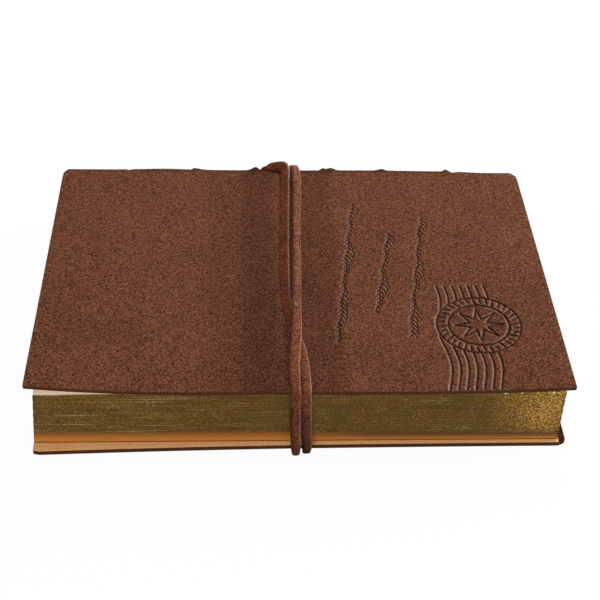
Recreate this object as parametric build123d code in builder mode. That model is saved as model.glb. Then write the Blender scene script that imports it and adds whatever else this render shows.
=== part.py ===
"""Closed leather journal, tied with a flat lace that goes twice round the book.

Millimetres. X runs along the book from tail to head, Y from the fore-edge to the spine, Z up.
The origin is on the table, under the middle of the tied book.
"""
from build123d import *
import os

# Leather cover: one sheet, folded twice at the spine.
cover_length = 185.0
front_depth = 132.3
back_reach = 0.2
leather = 1.5
fold_radius = 2.2
fold_flat = 4.0
tail_lift = 3.6
tail_flat = 30.0
head_lift = 1.8
head_flat = 40.0

# Page block: folded signatures, sewn through the spine of the cover.
page_length = 180.5
page_setback = 1.3
signature_count = 6
signature_thickness = 3.9
signature_groove = 0.9

# Long stitches on the spine: one row for each signature.
thread_diameter = 1.0
thread_sides = 8
stitch_length = 28.4
stitch_spacing = 51.0
stitch_columns = 3

# Lace: flat suede, wound twice round the book.
lace_width = 3.5
lace_thickness = 1.6
lace_tight_bend = 1.05
lace_fold_bend = 4.0
lace_arch_bend = 3.6
lace_drift_bend = 60.0
lace_hump_bend = 20.0
arch_height = 2.5
arch_reach = 1.2
arch_foot = 9.0
arch_drop = 7.0

# Room between pieces that lie against each other.
contact_gap = 0.1

# Heights that follow from the sizes above, from the table up.
back_z = lace_thickness + contact_gap
page_z = back_z + leather + contact_gap
page_thickness = signature_count * signature_thickness
front_z = page_z + page_thickness + contact_gap
cover_top = front_z + leather
page_mid_z = page_z + page_thickness / 2

# The lace's centre line lies this far from the surface that it rests on.
lace_rest = contact_gap + lace_thickness / 2
stitch_proud = thread_diameter + contact_gap
lace_over_lace = lace_thickness + contact_gap

# The lace stands out behind the spine and before the fore-edge; the origin is midway between.
fore_lean = back_reach / (cover_top - page_z)
fore_stand = lace_rest + fore_lean * (page_z - lace_thickness / 2)
rear_stand = stitch_proud + lace_rest
spine_y = (front_depth + back_reach + fore_stand - rear_stand - arch_reach) / 2
front_edge_y = spine_y - front_depth
back_edge_y = front_edge_y - back_reach
spine_inside_y = spine_y - leather
hinge_y = spine_y - fold_radius - fold_flat


# The front cover is flat under the lace and curls up towards its two fore-edge corners.
corner_lifts = (
    (-tail_flat, -cover_length / 2, tail_lift),
    (head_flat, cover_length / 2, head_lift),
)


def strip_corners(flat_x, end_x, rise):
    """Corners of the front cover's section from flat_x to end_x, with the end raised."""
    return (
        (flat_x, front_z),
        (end_x, front_z + rise),
        (end_x, cover_top + rise),
        (flat_x, cover_top),
    )


# Long stitches lie in rows and columns on the spine's outside.
spine_plane = Plane(origin=(0, spine_y, page_mid_z), x_dir=(-1, 0, 0), z_dir=(0, 1, 0))
thread_hole = thread_diameter + 2 * contact_gap

# The lace leaves and re-enters the spine through two slits, each between two rows of stitches.
lace_x = 2.4
upper_slit_z = page_mid_z + signature_thickness
lower_slit_z = page_mid_z - signature_thickness

with BuildPart() as leather_cover:
    with BuildSketch(Plane.YZ.offset(-cover_length / 2)):
        with BuildLine():
            FilletPolyline(
                (back_edge_y, back_z),
                (spine_y, back_z),
                (spine_y, cover_top),
                (hinge_y, cover_top),
                radius=fold_radius,
            )
            offset(amount=leather, side=Side.LEFT)
        make_face()
    extrude(amount=cover_length)
    with BuildSketch(Plane.XZ.offset(-hinge_y)):
        with BuildLine():
            Polyline(*strip_corners(-tail_flat, head_flat, 0), close=True)
        make_face()
    extrude(amount=hinge_y - front_edge_y)
    for flat_x, end_x, rise in corner_lifts:
        with BuildSketch(Plane.XZ.offset(-hinge_y)):
            with BuildLine():
                Polyline(*strip_corners(flat_x, end_x, 0), close=True)
            make_face()
        with BuildSketch(Plane.XZ.offset(-front_edge_y)):
            with BuildLine():
                low_flat, low_end, high_end, high_flat = strip_corners(flat_x, end_x, rise)
                TangentArc(low_flat, low_end, tangent=(flat_x, 0))
                Line(low_end, high_end)
                TangentArc(high_flat, high_end, tangent=(flat_x, 0))
                Line(high_flat, low_flat)
            make_face()
        loft()
    with Locations(spine_plane):
        with GridLocations(stitch_spacing, signature_thickness, stitch_columns, signature_count):
            with Locations((-stitch_length / 2, 0), (stitch_length / 2, 0)):
                Hole(thread_hole / 2, depth=2 * leather)
    with Locations((lace_x, spine_y, upper_slit_z), (lace_x, spine_y, lower_slit_z)):
        Box(
            lace_width + 2 * contact_gap,
            3 * leather,
            lace_thickness + 2 * contact_gap,
            mode=Mode.SUBTRACT,
        )
leather_cover.part.label = "leather_cover"

page_back_y = spine_inside_y - contact_gap
page_fore_y = front_edge_y + page_setback
with BuildPart() as page_block:
    with BuildSketch(Plane.YZ.offset(-page_length / 2)):
        with BuildLine():
            groove_y = page_back_y - signature_groove
            Polyline(
                (groove_y, page_z),
                (page_fore_y, page_z),
                (page_fore_y, page_z + page_thickness),
                (groove_y, page_z + page_thickness),
            )
            for signature in range(signature_count):
                low_z = page_z + signature * signature_thickness
                ThreePointArc(
                    (groove_y, low_z),
                    (page_back_y, low_z + signature_thickness / 2),
                    (groove_y, low_z + signature_thickness),
                )
        make_face()
    extrude(amount=page_length)
page_block.part.label = "page_block"

with BuildPart() as sewing_thread:
    with BuildLine() as stitch_line:
        leg_end = -leather
        run_height = thread_diameter / 2 + contact_gap / 2
        Polyline(
            (-stitch_length / 2, 0, leg_end),
            (-stitch_length / 2, 0, run_height),
            (stitch_length / 2, 0, run_height),
            (stitch_length / 2, 0, leg_end),
        )
    with BuildSketch(stitch_line.line ^ 0):
        RegularPolygon(thread_diameter / 2, thread_sides)
    stitch = sweep(path=stitch_line.line, transition=Transition.RIGHT, mode=Mode.PRIVATE)
    with Locations(spine_plane):
        with GridLocations(stitch_spacing, signature_thickness, stitch_columns, signature_count):
            add(stitch)
sewing_thread.part.label = "sewing_thread"

# Route of the lace's centre line, from the upper slit to the lower one.
on_cover_z = cover_top + lace_rest
under_z = lace_thickness / 2
rear_y = spine_y + rear_stand
fore_top_y = front_edge_y - lace_rest
fore_low_y = back_edge_y - fore_stand
crossing_z = on_cover_z + lace_over_lace
arch_y = rear_y + arch_reach
arch_z = on_cover_z + arch_height

lace_route = [
    ((lace_x, spine_inside_y, upper_slit_z), None),
    ((lace_x, rear_y, upper_slit_z), lace_tight_bend),
    ((lace_x, rear_y, on_cover_z), lace_fold_bend),
    ((1.2, spine_y - 44, on_cover_z), lace_hump_bend),
    ((0.8, spine_y - 56, crossing_z), lace_hump_bend),
    ((-2.1, front_edge_y + 8, crossing_z), lace_hump_bend),
    ((-2.5, fore_top_y, on_cover_z), lace_tight_bend),
    ((-1.6, fore_low_y, under_z), lace_tight_bend),
    ((-10.0, rear_y, under_z), lace_fold_bend),
    ((-12.0, rear_y, cover_top - arch_drop), lace_arch_bend),
    ((-8.5, arch_y, arch_z), lace_arch_bend),
    ((-2.9, spine_y - arch_foot, on_cover_z), lace_arch_bend),
    ((-3.5, spine_y - 48, on_cover_z), lace_drift_bend),
    ((0.9, front_edge_y + 24, on_cover_z), lace_drift_bend),
    ((1.5, fore_top_y, on_cover_z), lace_tight_bend),
    ((2.2, fore_low_y, under_z), lace_tight_bend),
    ((lace_x, rear_y, under_z), lace_fold_bend),
    ((lace_x, rear_y, lower_slit_z), lace_tight_bend),
    ((lace_x, spine_inside_y, lower_slit_z), None),
]
lace_points = [point for point, bend in lace_route]
lace_bends = [bend for point, bend in lace_route if bend]
with BuildPart() as wrap_lace:
    with BuildLine() as lace_line:
        FilletPolyline(*lace_points, radius=lace_bends)
    with BuildSketch(Plane(lace_points[0], x_dir=(1, 0, 0), z_dir=(0, 1, 0))):
        Rectangle(lace_width, lace_thickness)
    lace_path = lace_line.wire()
    sweep(path=lace_path, binormal=lace_path.moved(Location((lace_width, 0, 0))))
wrap_lace.part.label = "wrap_lace"

os.makedirs("parts", exist_ok=True)
for piece in (leather_cover, page_block, sewing_thread, wrap_lace):
    export_step(piece.part, f"parts/{piece.part.label}.step")

lace_section = lace_width * lace_thickness
print(f"lace length {lace_path.length:.1f} mm")
print(f"lace volume over section times length {wrap_lace.part.volume / (lace_section * lace_path.length):.4f}")
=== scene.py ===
"""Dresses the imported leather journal: folded cover, gilt page block, sewn spine and wrap lace.

Sizes are millimetres in the frame's own axes: X from tail to head, Y from the fore-edge to the spine, Z up.
A mesh is scaled to metres when its piece is finished.
"""
import logging
import math
import random
from dataclasses import dataclass, field
from enum import Enum
from typing import Any, Callable, Iterable, Sequence, Union

import bmesh
import bpy
from mathutils import Euler, Matrix, Vector
from mathutils.kdtree import KDTree


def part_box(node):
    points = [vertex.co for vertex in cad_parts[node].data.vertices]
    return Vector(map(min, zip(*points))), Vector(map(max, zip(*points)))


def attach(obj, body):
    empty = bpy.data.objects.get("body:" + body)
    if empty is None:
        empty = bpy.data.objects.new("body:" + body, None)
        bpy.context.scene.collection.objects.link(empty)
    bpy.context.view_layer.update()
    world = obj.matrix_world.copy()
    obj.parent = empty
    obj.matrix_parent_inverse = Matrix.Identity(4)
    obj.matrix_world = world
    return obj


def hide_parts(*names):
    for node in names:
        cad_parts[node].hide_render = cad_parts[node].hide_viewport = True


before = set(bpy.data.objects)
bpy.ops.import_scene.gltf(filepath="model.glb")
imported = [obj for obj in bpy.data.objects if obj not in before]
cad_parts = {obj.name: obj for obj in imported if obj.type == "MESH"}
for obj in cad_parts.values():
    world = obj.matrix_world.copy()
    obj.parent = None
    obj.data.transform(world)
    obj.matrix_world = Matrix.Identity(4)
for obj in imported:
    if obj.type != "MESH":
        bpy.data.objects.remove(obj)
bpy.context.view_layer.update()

MM = 0.001
CONTACT_GAP = 0.1
LOG = logging.getLogger("journal")

Triple = tuple[float, float, float]
Colour = Triple
Point2 = tuple[float, float]
Stroke = list[Point2]

WHITE: Colour = (1.0, 1.0, 1.0)
# Middle of a pattern that runs from 0 to 1.
MIDDLE = 0.5
# Places that are closer than this count as the same.
NEAR = 0.01
# A direction runs along an axis where more than this share of it does.
ALONG = 0.5


class SubPart(Enum):
    """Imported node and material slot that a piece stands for."""

    COVER = ("leather_cover", "cover_leather")
    PAGES = ("page_block", "gilt_paper")
    THREAD = ("sewing_thread", "waxed_thread")
    LACE = ("wrap_lace", "suede_lace")

    def __init__(self, node: str, slot: str) -> None:
        """Keeps the names of the node and the slot."""
        self.node = node
        self.slot = slot


class Mark(Enum):
    """Vertex attributes that a finish reads."""

    # Painted shade in the pressed lines and sewing holes.
    PRESSED_SHADE = "pressed"
    # Painted highlight on the lit lips of the pressed lines.
    LIP_HIGHLIGHT = "raised"
    # Darker stamped disc, and painted shade at the upper fold and on the puckers.
    DISC_AND_SHADE = "burnished"
    EDGE = "edge"


class Value:
    """A shader value that Python operators work on; each operation adds a Math node."""

    def __init__(self, shader: "Shader", socket: bpy.types.NodeSocket) -> None:
        """Keeps the shader and the output socket that carries the value."""
        self.shader = shader
        self.socket = socket

    def __add__(self, other: "Operand") -> "Value":
        """Sum of two values."""
        return self.shader.math("ADD", self, other)

    def __sub__(self, other: "Operand") -> "Value":
        """Difference of two values."""
        return self.shader.math("SUBTRACT", self, other)

    def __rsub__(self, other: float) -> "Value":
        """Number less this value."""
        return self.shader.math("SUBTRACT", other, self)

    def __mul__(self, other: "Operand") -> "Value":
        """Product of two values."""
        return self.shader.math("MULTIPLY", self, other)

    def __truediv__(self, other: "Operand") -> "Value":
        """Quotient of two values."""
        return self.shader.math("DIVIDE", self, other)

    __radd__ = __add__
    __rmul__ = __mul__

    def step(self, low: float, high: float) -> "Value":
        """Smooth step of the value from 0 at low to 1 at high.

        Args:
            low: Value that gives 0.
            high: Value that gives 1; it may be below low.

        Returns:
            The stepped value.
        """
        return self.shader.add(
            "ShaderNodeMapRange",
            {"interpolation_type": "SMOOTHSTEP"},
            {"Value": self, "From Min": low, "From Max": high},
            "Result",
        )

    def scaled(self, start: float, gain: float) -> "Value":
        """Start plus the value times a gain."""
        return start + gain * self


Operand = Union[Value, float]


class Shader:
    """Node tree of a material or of the world."""

    def __init__(self, tree: bpy.types.NodeTree) -> None:
        """Takes a tree and empties it."""
        self.tree = tree
        tree.nodes.clear()

    @staticmethod
    def find(sockets: Iterable[bpy.types.NodeSocket], key: str) -> bpy.types.NodeSocket:
        """Finds a socket by its identifier or its name.

        Args:
            sockets: Inputs or outputs of a node.
            key: Identifier or name.

        Returns:
            The first enabled socket that matches.
        """
        return next(item for item in sockets if item.enabled and key in (item.identifier, item.name))

    def set_input(self, node: bpy.types.Node, key: str, value: Any) -> None:
        """Links a Value to an input, or sets the input's own number or colour."""
        socket = self.find(node.inputs, key)
        if isinstance(value, Value):
            self.tree.links.new(value.socket, socket)
        elif isinstance(value, tuple) and socket.type == "RGBA":
            socket.default_value = (*value, 1.0)
        else:
            socket.default_value = value

    def add(
        self,
        kind: str,
        settings: dict[str, Any] | None = None,
        inputs: dict[str, Any] | None = None,
        output: str = "",
    ) -> Value:
        """Adds a node.

        Args:
            kind: Node type.
            settings: Properties of the node, set first.
            inputs: Values or links of its sockets, by identifier or name.
            output: Name of the output that is wanted; empty for the first.

        Returns:
            The output as a Value.
        """
        node = self.tree.nodes.new(kind)
        for name, setting in (settings or {}).items():
            setattr(node, name, setting)
        for key, value in (inputs or {}).items():
            self.set_input(node, key, value)
        return Value(self, self.find(node.outputs, output) if output else node.outputs[0])

    def math(self, operation: str, first: Operand, second: Operand) -> Value:
        """Adds a Math node for two operands and returns its result."""
        return self.add("ShaderNodeMath", {"operation": operation}, {"Value": first, "Value_001": second})

    def show(self, kind: str, surface: Value) -> None:
        """Adds the tree's output node, of a given type, and links a shader to it."""
        self.set_input(self.tree.nodes.new(kind), "Surface", surface)

    def seen_or_lit(self, lit: Value, seen: Value, share: float = 1.0) -> Value:
        """Mixes two shaders by the kind of ray.

        Args:
            lit: Shader for the rays that light the object.
            seen: Shader for camera, glossy and transmission rays.
            share: Share of the second shader on those rays.

        Returns:
            The mixed shader.
        """
        kinds = ("Is Camera Ray", "Is Glossy Ray", "Is Transmission Ray")
        camera, glossy, through = (self.add("ShaderNodeLightPath", output=kind) for kind in kinds)
        factor = share * (camera + glossy + through).step(0.0, 1.0)
        return self.add("ShaderNodeMixShader", {}, {"Fac": factor, "Shader": lit, "Shader_001": seen})


class Surface(Shader):
    """One procedural material, built round a Principled shader."""

    def __init__(self, name: str) -> None:
        """Makes an empty material with its Principled shader and output."""
        self.material = bpy.data.materials.new(name)
        self.material.use_nodes = True
        super().__init__(self.material.node_tree)
        self.principled = self.tree.nodes.new("ShaderNodeBsdfPrincipled")
        self.show("ShaderNodeOutputMaterial", Value(self, self.principled.outputs["BSDF"]))
        self.place = self.add("ShaderNodeTexCoord", output="Object")

    def mix(self, factor: Operand, first: Any, second: Any, blend: str = "MIX") -> Value:
        """Mixes two colours.

        Args:
            factor: Share of the second colour.
            first: Colour or Value.
            second: Colour or Value.
            blend: Blend type of the Mix node.

        Returns:
            The mixed colour.
        """
        return self.add(
            "ShaderNodeMix",
            {"data_type": "RGBA", "blend_type": blend},
            {"Factor_Float": factor, "A_Color": first, "B_Color": second},
            "Result_Color",
        )

    def noise(self, size: float, detail: float = 2.0, stretch: Triple = (1.0, 1.0, 1.0)) -> Value:
        """Noise with features of a given size.

        Args:
            size: Feature size in millimetres.
            detail: Octaves of finer noise.
            stretch: Factor by which the features are longer along each axis.

        Returns:
            Noise from 0 to 1, about 0.5.
        """
        scale = tuple(1 / (size * MM * factor) for factor in stretch)
        place = self.add("ShaderNodeMapping", {}, {"Vector": self.place, "Scale": scale})
        return self.add("ShaderNodeTexNoise", {}, {"Vector": place, "Scale": 1.0, "Detail": detail}, "Fac")

    def cells(self, size: float) -> Value:
        """Cell distance of a Voronoi pattern whose cells have a given size in millimetres."""
        inputs = {"Vector": self.place, "Scale": 1 / (size * MM)}
        return self.add("ShaderNodeTexVoronoi", {}, inputs, "Distance")

    def pebbles(self, size: float) -> Value:
        """Tone from 0 to 1, drawn for each cell of a Voronoi pattern with cells of a size in millimetres."""
        inputs = {"Vector": self.place, "Scale": 1 / (size * MM)}
        tint = self.add("ShaderNodeTexVoronoi", {}, inputs, "Color")
        return self.add("ShaderNodeSeparateColor", {}, {"Color": tint}, "Red")

    def mark(self, mark: Mark) -> Value:
        """Reads a vertex attribute of the piece."""
        return self.add("ShaderNodeAttribute", {"attribute_name": mark.value}, {}, "Fac")

    def axis(self, name: str) -> Value:
        """Object coordinate along X, Y or Z, in millimetres."""
        return self.add("ShaderNodeSeparateXYZ", {}, {"Vector": self.place}, name) / MM

    def bump(self, height: Operand, depth: float, strength: float = 1.0) -> Value:
        """Normal bent by a height pattern.

        Args:
            height: Height from 0 to 1.
            depth: Height of the value 1, in millimetres.
            strength: Strength of the effect.

        Returns:
            The bent normal.
        """
        inputs = {"Height": height, "Distance": depth * MM, "Strength": strength}
        return self.add("ShaderNodeBump", {}, inputs, "Normal")

    def finish(self, **inputs: Any) -> bpy.types.Material:
        """Sets the Principled shader's inputs.

        Args:
            inputs: Values by socket name, with underscores for spaces.

        Returns:
            The finished material.
        """
        for name, value in inputs.items():
            self.set_input(self.principled, name.replace("_", " "), value)
        return self.material


@dataclass(frozen=True)
class ShadeBand:
    """Stretch of the cover beside the lace that is darkened as painted shade: its middle, reach and strength.
    """

    x: float
    reach: float
    share: float


@dataclass(frozen=True)
class GrainLeather:
    """Grained outer side of the cover's leather, darker in the stamped disc, with painted shade beside the
    lace, at the upper fold, on the puckers and in the pressed lines and holes, and painted highlights on the
    lines' lit lips and on bright flecks.

    A pattern's weight is its share in the tone that runs from the dark to the light colour.
    """

    red_light: Colour = (0.260, 0.088, 0.047)
    brown_light: Colour = (0.248, 0.093, 0.045)
    dark: Colour = (0.026, 0.009, 0.004)
    # Painted highlight of the grain's flecks.
    highlight_fleck: Colour = (0.420, 0.180, 0.105)
    # Tint multiplied in as painted shade beside the lace, at the upper fold and on the puckers, and as the
    # stamped disc's darkening.
    stamp_and_shade_tint: Colour = (0.375, 0.355, 0.330)
    # Painted shade of the pressed lines and sewing holes.
    pressed: Colour = (0.008, 0.003, 0.002)
    # Painted highlight of the pressed lines' lit lips.
    raised: Colour = (0.620, 0.370, 0.260)
    grain_size: float = 0.35
    grain_middle: float = 0.45
    pore_size: float = 0.24
    pore_stretch: Triple = (1.4, 0.8, 1.0)
    cloud_size: float = 24.0
    hue_size: float = 3.0
    hue_range: Point2 = (0.35, 0.65)
    tone_middle: float = 0.51
    tone_range: Point2 = (-0.2, 1.2)
    pebble_weight: float = 1.2
    grain_weight: float = 0.4
    pore_weight: float = 1.4
    cloud_weight: float = 0.25
    highlight_fleck_range: Point2 = (0.9, 1.3)
    highlight_fleck_share: float = 0.5
    # Painted shade: dark bands beside the lace, stronger towards the fore-edge.
    shade_bands: tuple[ShadeBand, ...] = (
        ShadeBand(-13.7, 9.0, 0.38),
        ShadeBand(-19.0, 18.0, 0.24),
        ShadeBand(7.0, 12.0, 0.40),
    )
    shade_near_y: Point2 = (30.0, -30.0)
    shade_near_gain: float = 0.2
    disc_and_shade_share: float = 0.8
    lip_highlight_share: Point2 = (0.4, 0.5)
    pressed_shade_share: float = 0.95

    def material(self) -> bpy.types.Material:
        """Builds the finish and returns its material."""
        shader = Surface("grain_leather")
        grain = shader.cells(self.grain_size)
        pores = shader.noise(self.pore_size, 1.0, self.pore_stretch)
        cloud = shader.noise(self.cloud_size, 3.0)
        pebble = shader.pebbles(self.grain_size)
        tone = (
            self.tone_middle
            + self.pebble_weight * (pebble - MIDDLE)
            - self.grain_weight * (grain - self.grain_middle)
            + self.pore_weight * (pores - MIDDLE)
            + self.cloud_weight * (cloud - MIDDLE)
        )
        hue = shader.noise(self.hue_size, 2.0).step(*self.hue_range)
        light = shader.mix(hue, self.red_light, self.brown_light)
        colour = shader.mix(tone.step(*self.tone_range), self.dark, light)
        # Painted highlight: pale flecks where the grain's tone is highest.
        colour = shader.mix(self.highlight_fleck_share * tone.step(*self.highlight_fleck_range), colour, self.highlight_fleck)
        x = shader.axis("X")
        # Painted shade beside the lace, stronger towards the front cover's fore-edge.
        near = shader.axis("Y").step(*self.shade_near_y).scaled(1.0, self.shade_near_gain)
        for band in self.shade_bands:
            offset = (x - band.x) / band.reach
            share = band.share * near * (offset * offset).step(1.0, 0.0)
            colour = shader.mix(share, colour, self.stamp_and_shade_tint, "MULTIPLY")
        # Painted shade at the upper fold and on the puckers, and the darker stamped disc inside the ring.
        burnished = self.disc_and_shade_share * shader.mark(Mark.DISC_AND_SHADE)
        colour = shader.mix(burnished, colour, self.stamp_and_shade_tint, "MULTIPLY")
        # Painted highlight on the tailward lip of each pressed line, which faces the light.
        raised = shader.mark(Mark.LIP_HIGHLIGHT) * pebble.scaled(*self.lip_highlight_share)
        colour = shader.mix(raised, colour, self.raised)
        # Painted shade in the pressed lines and sewing holes, darker on each line's headward wall, away from
        # the light.
        colour = shader.mix(self.pressed_shade_share * shader.mark(Mark.PRESSED_SHADE), colour, self.pressed)
        height = 0.6 * (1 - grain) + 0.4 * pores
        return shader.finish(
            Base_Color=colour,
            Roughness=grain.scaled(0.6, 0.2),
            Normal=shader.bump(height, 0.15, 0.9),
            Specular_IOR_Level=0.025,
        )


@dataclass(frozen=True)
class TwoTone:
    """Plain finish that mixes two tones by a fibre pattern and, where that has a size, a cloud pattern."""

    name: str
    light: Colour
    dark: Colour
    tone_range: Point2
    fibre_size: float
    fibre_detail: float
    fibre_depth: float
    bump_strength: float
    roughness: Point2
    specular: float
    stretch: Triple = (1.0, 1.0, 1.0)
    fibre_share: float = 1.0
    cloud_size: float = 0.0
    cloud_detail: float = 2.0

    def material(self) -> bpy.types.Material:
        """Builds the finish and returns its material."""
        shader = Surface(self.name)
        fibre = shader.noise(self.fibre_size, self.fibre_detail, self.stretch)
        cloud = shader.noise(self.cloud_size, self.cloud_detail) if self.cloud_size else MIDDLE
        tone = self.fibre_share * fibre + (1 - self.fibre_share) * cloud
        return shader.finish(
            Base_Color=shader.mix(tone.step(*self.tone_range), self.dark, self.light),
            Roughness=fibre.scaled(*self.roughness),
            Normal=shader.bump(fibre, self.fibre_depth, self.bump_strength),
            Specular_IOR_Level=self.specular,
        )


# Tan inner side of the cover's leather.
FLESH_LEATHER = TwoTone(
    "flesh_leather", light=(1.00, 0.61, 0.285), dark=(0.90, 0.41, 0.145), tone_range=(0.28, 0.62),
    fibre_size=0.5, fibre_detail=2.0, fibre_depth=0.1, bump_strength=0.7,
    roughness=(0.75, 0.15), specular=0.15, fibre_share=0.75, cloud_size=14.0, cloud_detail=3.0,
)
# Dark cut edge of the cover's leather.
CUT_EDGE = TwoTone(
    "cut_edge", light=(0.105, 0.040, 0.017), dark=(0.050, 0.019, 0.009), tone_range=(0.3, 0.7),
    fibre_size=0.4, fibre_detail=3.0, fibre_depth=0.08, bump_strength=0.7,
    roughness=(0.6, 0.2), specular=0.06, stretch=(6.0, 6.0, 1.0),
)
# Cream paper of the first and last leaves and of the folds at the spine.
CREAM_PAPER = TwoTone(
    "cream_paper", light=(1.00, 0.93, 0.74), dark=(0.93, 0.83, 0.62), tone_range=(0.3, 0.7),
    fibre_size=0.6, fibre_detail=4.0, fibre_depth=0.03, bump_strength=0.5,
    roughness=(0.8, 0.1), specular=0.2, fibre_share=0.5, cloud_size=22.0,
)
# Waxed linen thread of the spine's stitches.
WAXED_THREAD = TwoTone(
    "waxed_thread", light=(0.155, 0.082, 0.046), dark=(0.075, 0.036, 0.019), tone_range=(0.25, 0.75),
    fibre_size=0.3, fibre_detail=3.0, fibre_depth=0.05, bump_strength=0.6,
    roughness=(0.45, 0.2), specular=0.35, stretch=(5.0, 1.0, 1.0), fibre_share=0.6,
)


@dataclass(frozen=True)
class GiltEdge:
    """Bronze-gilt page edges with leaf lines, bright flecks and chips, a warm strip along the foot that is a
    painted reflection of the back cover's tan margin, and a painted contact shadow at the very foot.

    A pair that ends in share is the least share of a colour and what a pattern or a place adds to it.
    """

    page_low_z: float
    gilt: Colour = (0.146, 0.077, 0.014)
    tarnish: Colour = (0.048, 0.026, 0.005)
    glow: Colour = (0.320, 0.155, 0.020)
    bright: Colour = (0.84, 0.46, 0.095)
    paper: Colour = (0.62, 0.48, 0.28)
    bare_paper: Colour = (0.90, 0.84, 0.72)
    # Colours of the painted reflection of the back cover's tan margin along the foot.
    painted_reflection: Colour = (0.66, 0.255, 0.042)
    painted_reflection_top: Colour = (0.36, 0.110, 0.009)
    painted_reflection_dim: Colour = (0.56, 0.200, 0.028)
    painted_reflection_dim_top: Colour = (0.13, 0.043, 0.003)
    # Painted contact shadow at the very foot of the page edges.
    contact_shadow: Colour = (0.10, 0.038, 0.010)
    line_weight: float = 0.6
    streak_weight: float = 0.8
    speck_weight: float = 1.2
    blotch_weight: float = 0.3
    spark_weight: float = 0.3
    gilt_range: Point2 = (0.1, 0.95)
    bright_x: float = 88.0
    bright_reach: float = 28.0
    bright_y: Point2 = (-52.0, -60.0)
    bright_z: Point2 = (3.0, 12.0)
    glow_share: float = 0.2
    spark_range: Point2 = (0.5, 0.95)
    spark_share: float = 0.05
    tail_sparks: float = 0.08
    head_sparks: float = 0.80
    flake_range: Point2 = (0.95, 0.99)
    flake_patch: Point2 = (0.40, 0.65)
    flake_share: float = 0.4
    scratched_x: Point2 = (-20.0, -60.0)
    scratch_range: Point2 = (0.60, 0.70)
    scratch_break: Point2 = (0.3, 0.6)
    scratch_share: Point2 = (0.25, 0.55)
    strip_height: float = 4.6
    strip_slope: float = -0.005
    strip_streak_play: float = 0.8
    strip_speck_play: float = 0.9
    strip_fade: Point2 = (-0.35, 1.3)
    strip_rise: Point2 = (0.2, 0.9)
    dim_rise: Point2 = (0.15, 0.75)
    dim_x: Point2 = (-10.0, 30.0)
    strip_share: Point2 = (0.8, 0.2)
    contact_shadow_z: Point2 = (0.75, 0.35)
    contact_shadow_share: float = 0.9
    chips: tuple[Point2, ...] = ((69.3, 1.0), (75.0, 0.35), (85.9, 0.45))
    chip_height: float = 22.7
    chip_half: float = 0.5
    chip_edge: Point2 = (1.2, 0.4)
    chip_grain: Point2 = (0.3, 0.5)
    chip_share: Point2 = (0.3, 0.5)

    def material(self) -> bpy.types.Material:
        """Builds the finish and returns its material."""
        shader = Surface("gilt_edge")
        lines = shader.noise(0.17, 2.0, (260.0, 260.0, 1.0))
        streaks = shader.noise(0.5, 3.0, (60.0, 60.0, 1.0))
        scratches = shader.noise(0.3, 1.0, (110.0, 110.0, 1.0))
        specks = shader.noise(0.34, 2.0)
        sparks = shader.pebbles(0.28)
        blotches = shader.noise(7.0, 2.0)
        x = shader.axis("X")
        height = shader.axis("Z") - self.page_low_z
        head = x.step(self.bright_x - self.bright_reach, self.bright_x)
        head = head * shader.axis("Y").step(*self.bright_y)
        head = head * height.step(*self.bright_z).scaled(0.5, 0.5)
        tail = x.step(*self.scratched_x)
        tone = (
            MIDDLE
            + self.line_weight * (lines - MIDDLE)
            + self.streak_weight * (streaks - MIDDLE)
            + self.speck_weight * (specks - MIDDLE)
            + self.blotch_weight * (blotches - MIDDLE)
            + self.spark_weight * (sparks - MIDDLE)
        )
        colour = shader.mix(tone.step(*self.gilt_range), self.tarnish, self.gilt)
        colour = shader.mix(self.glow_share * head, colour, self.glow)
        sparkling = self.spark_share + self.tail_sparks * tail + self.head_sparks * head
        colour = shader.mix(sparks.step(*self.spark_range) * sparkling, colour, self.bright)
        flakes = sparks.step(*self.flake_range) * blotches.step(*self.flake_patch)
        colour = shader.mix(self.flake_share * flakes, colour, self.paper)
        wear_and_shade = scratches.step(*self.scratch_range) * specks.step(*self.scratch_break)
        colour = shader.mix(wear_and_shade * tail.scaled(*self.scratch_share), colour, self.paper)
        # Painted reflection of the back cover's tan margin: a warm strip along the foot, dimmer towards the
        # head and not metallic.
        level = self.strip_height + self.strip_slope * x
        streaky = self.strip_streak_play * (streaks - MIDDLE)
        painted_reflection_top = level + streaky + self.strip_speck_play * (specks - MIDDLE)
        painted_reflection = (painted_reflection_top - height).step(*self.strip_fade)
        rise = height / painted_reflection_top
        warm = shader.mix(rise.step(*self.strip_rise), self.painted_reflection, self.painted_reflection_top)
        dim = shader.mix(rise.step(*self.dim_rise), self.painted_reflection_dim, self.painted_reflection_dim_top)
        warm = shader.mix(x.step(*self.dim_x), warm, dim)
        colour = shader.mix(painted_reflection * sparks.scaled(*self.strip_share), colour, warm)
        # Painted contact shadow where the pages meet the back cover.
        colour = shader.mix(self.contact_shadow_share * height.step(*self.contact_shadow_z), colour, self.contact_shadow)
        bare = painted_reflection
        above = (height - self.chip_height) / self.chip_half
        chipped = specks.step(*self.chip_grain).scaled(*self.chip_share)
        for centre, half in self.chips:
            offset = (x - centre) / half
            chip = (offset * offset + above * above).step(*self.chip_edge) * chipped
            colour = shader.mix(chip, colour, self.bare_paper)
            bare = shader.math("MAXIMUM", bare, chip)
        return shader.finish(
            Base_Color=colour,
            Metallic=bare.scaled(0.92, -0.82),
            Roughness=streaks.scaled(0.34, 0.25),
            Normal=shader.bump(0.6 * lines + 0.4 * specks, 0.06, 0.7),
            Specular_IOR_Level=0.2,
        )


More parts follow.
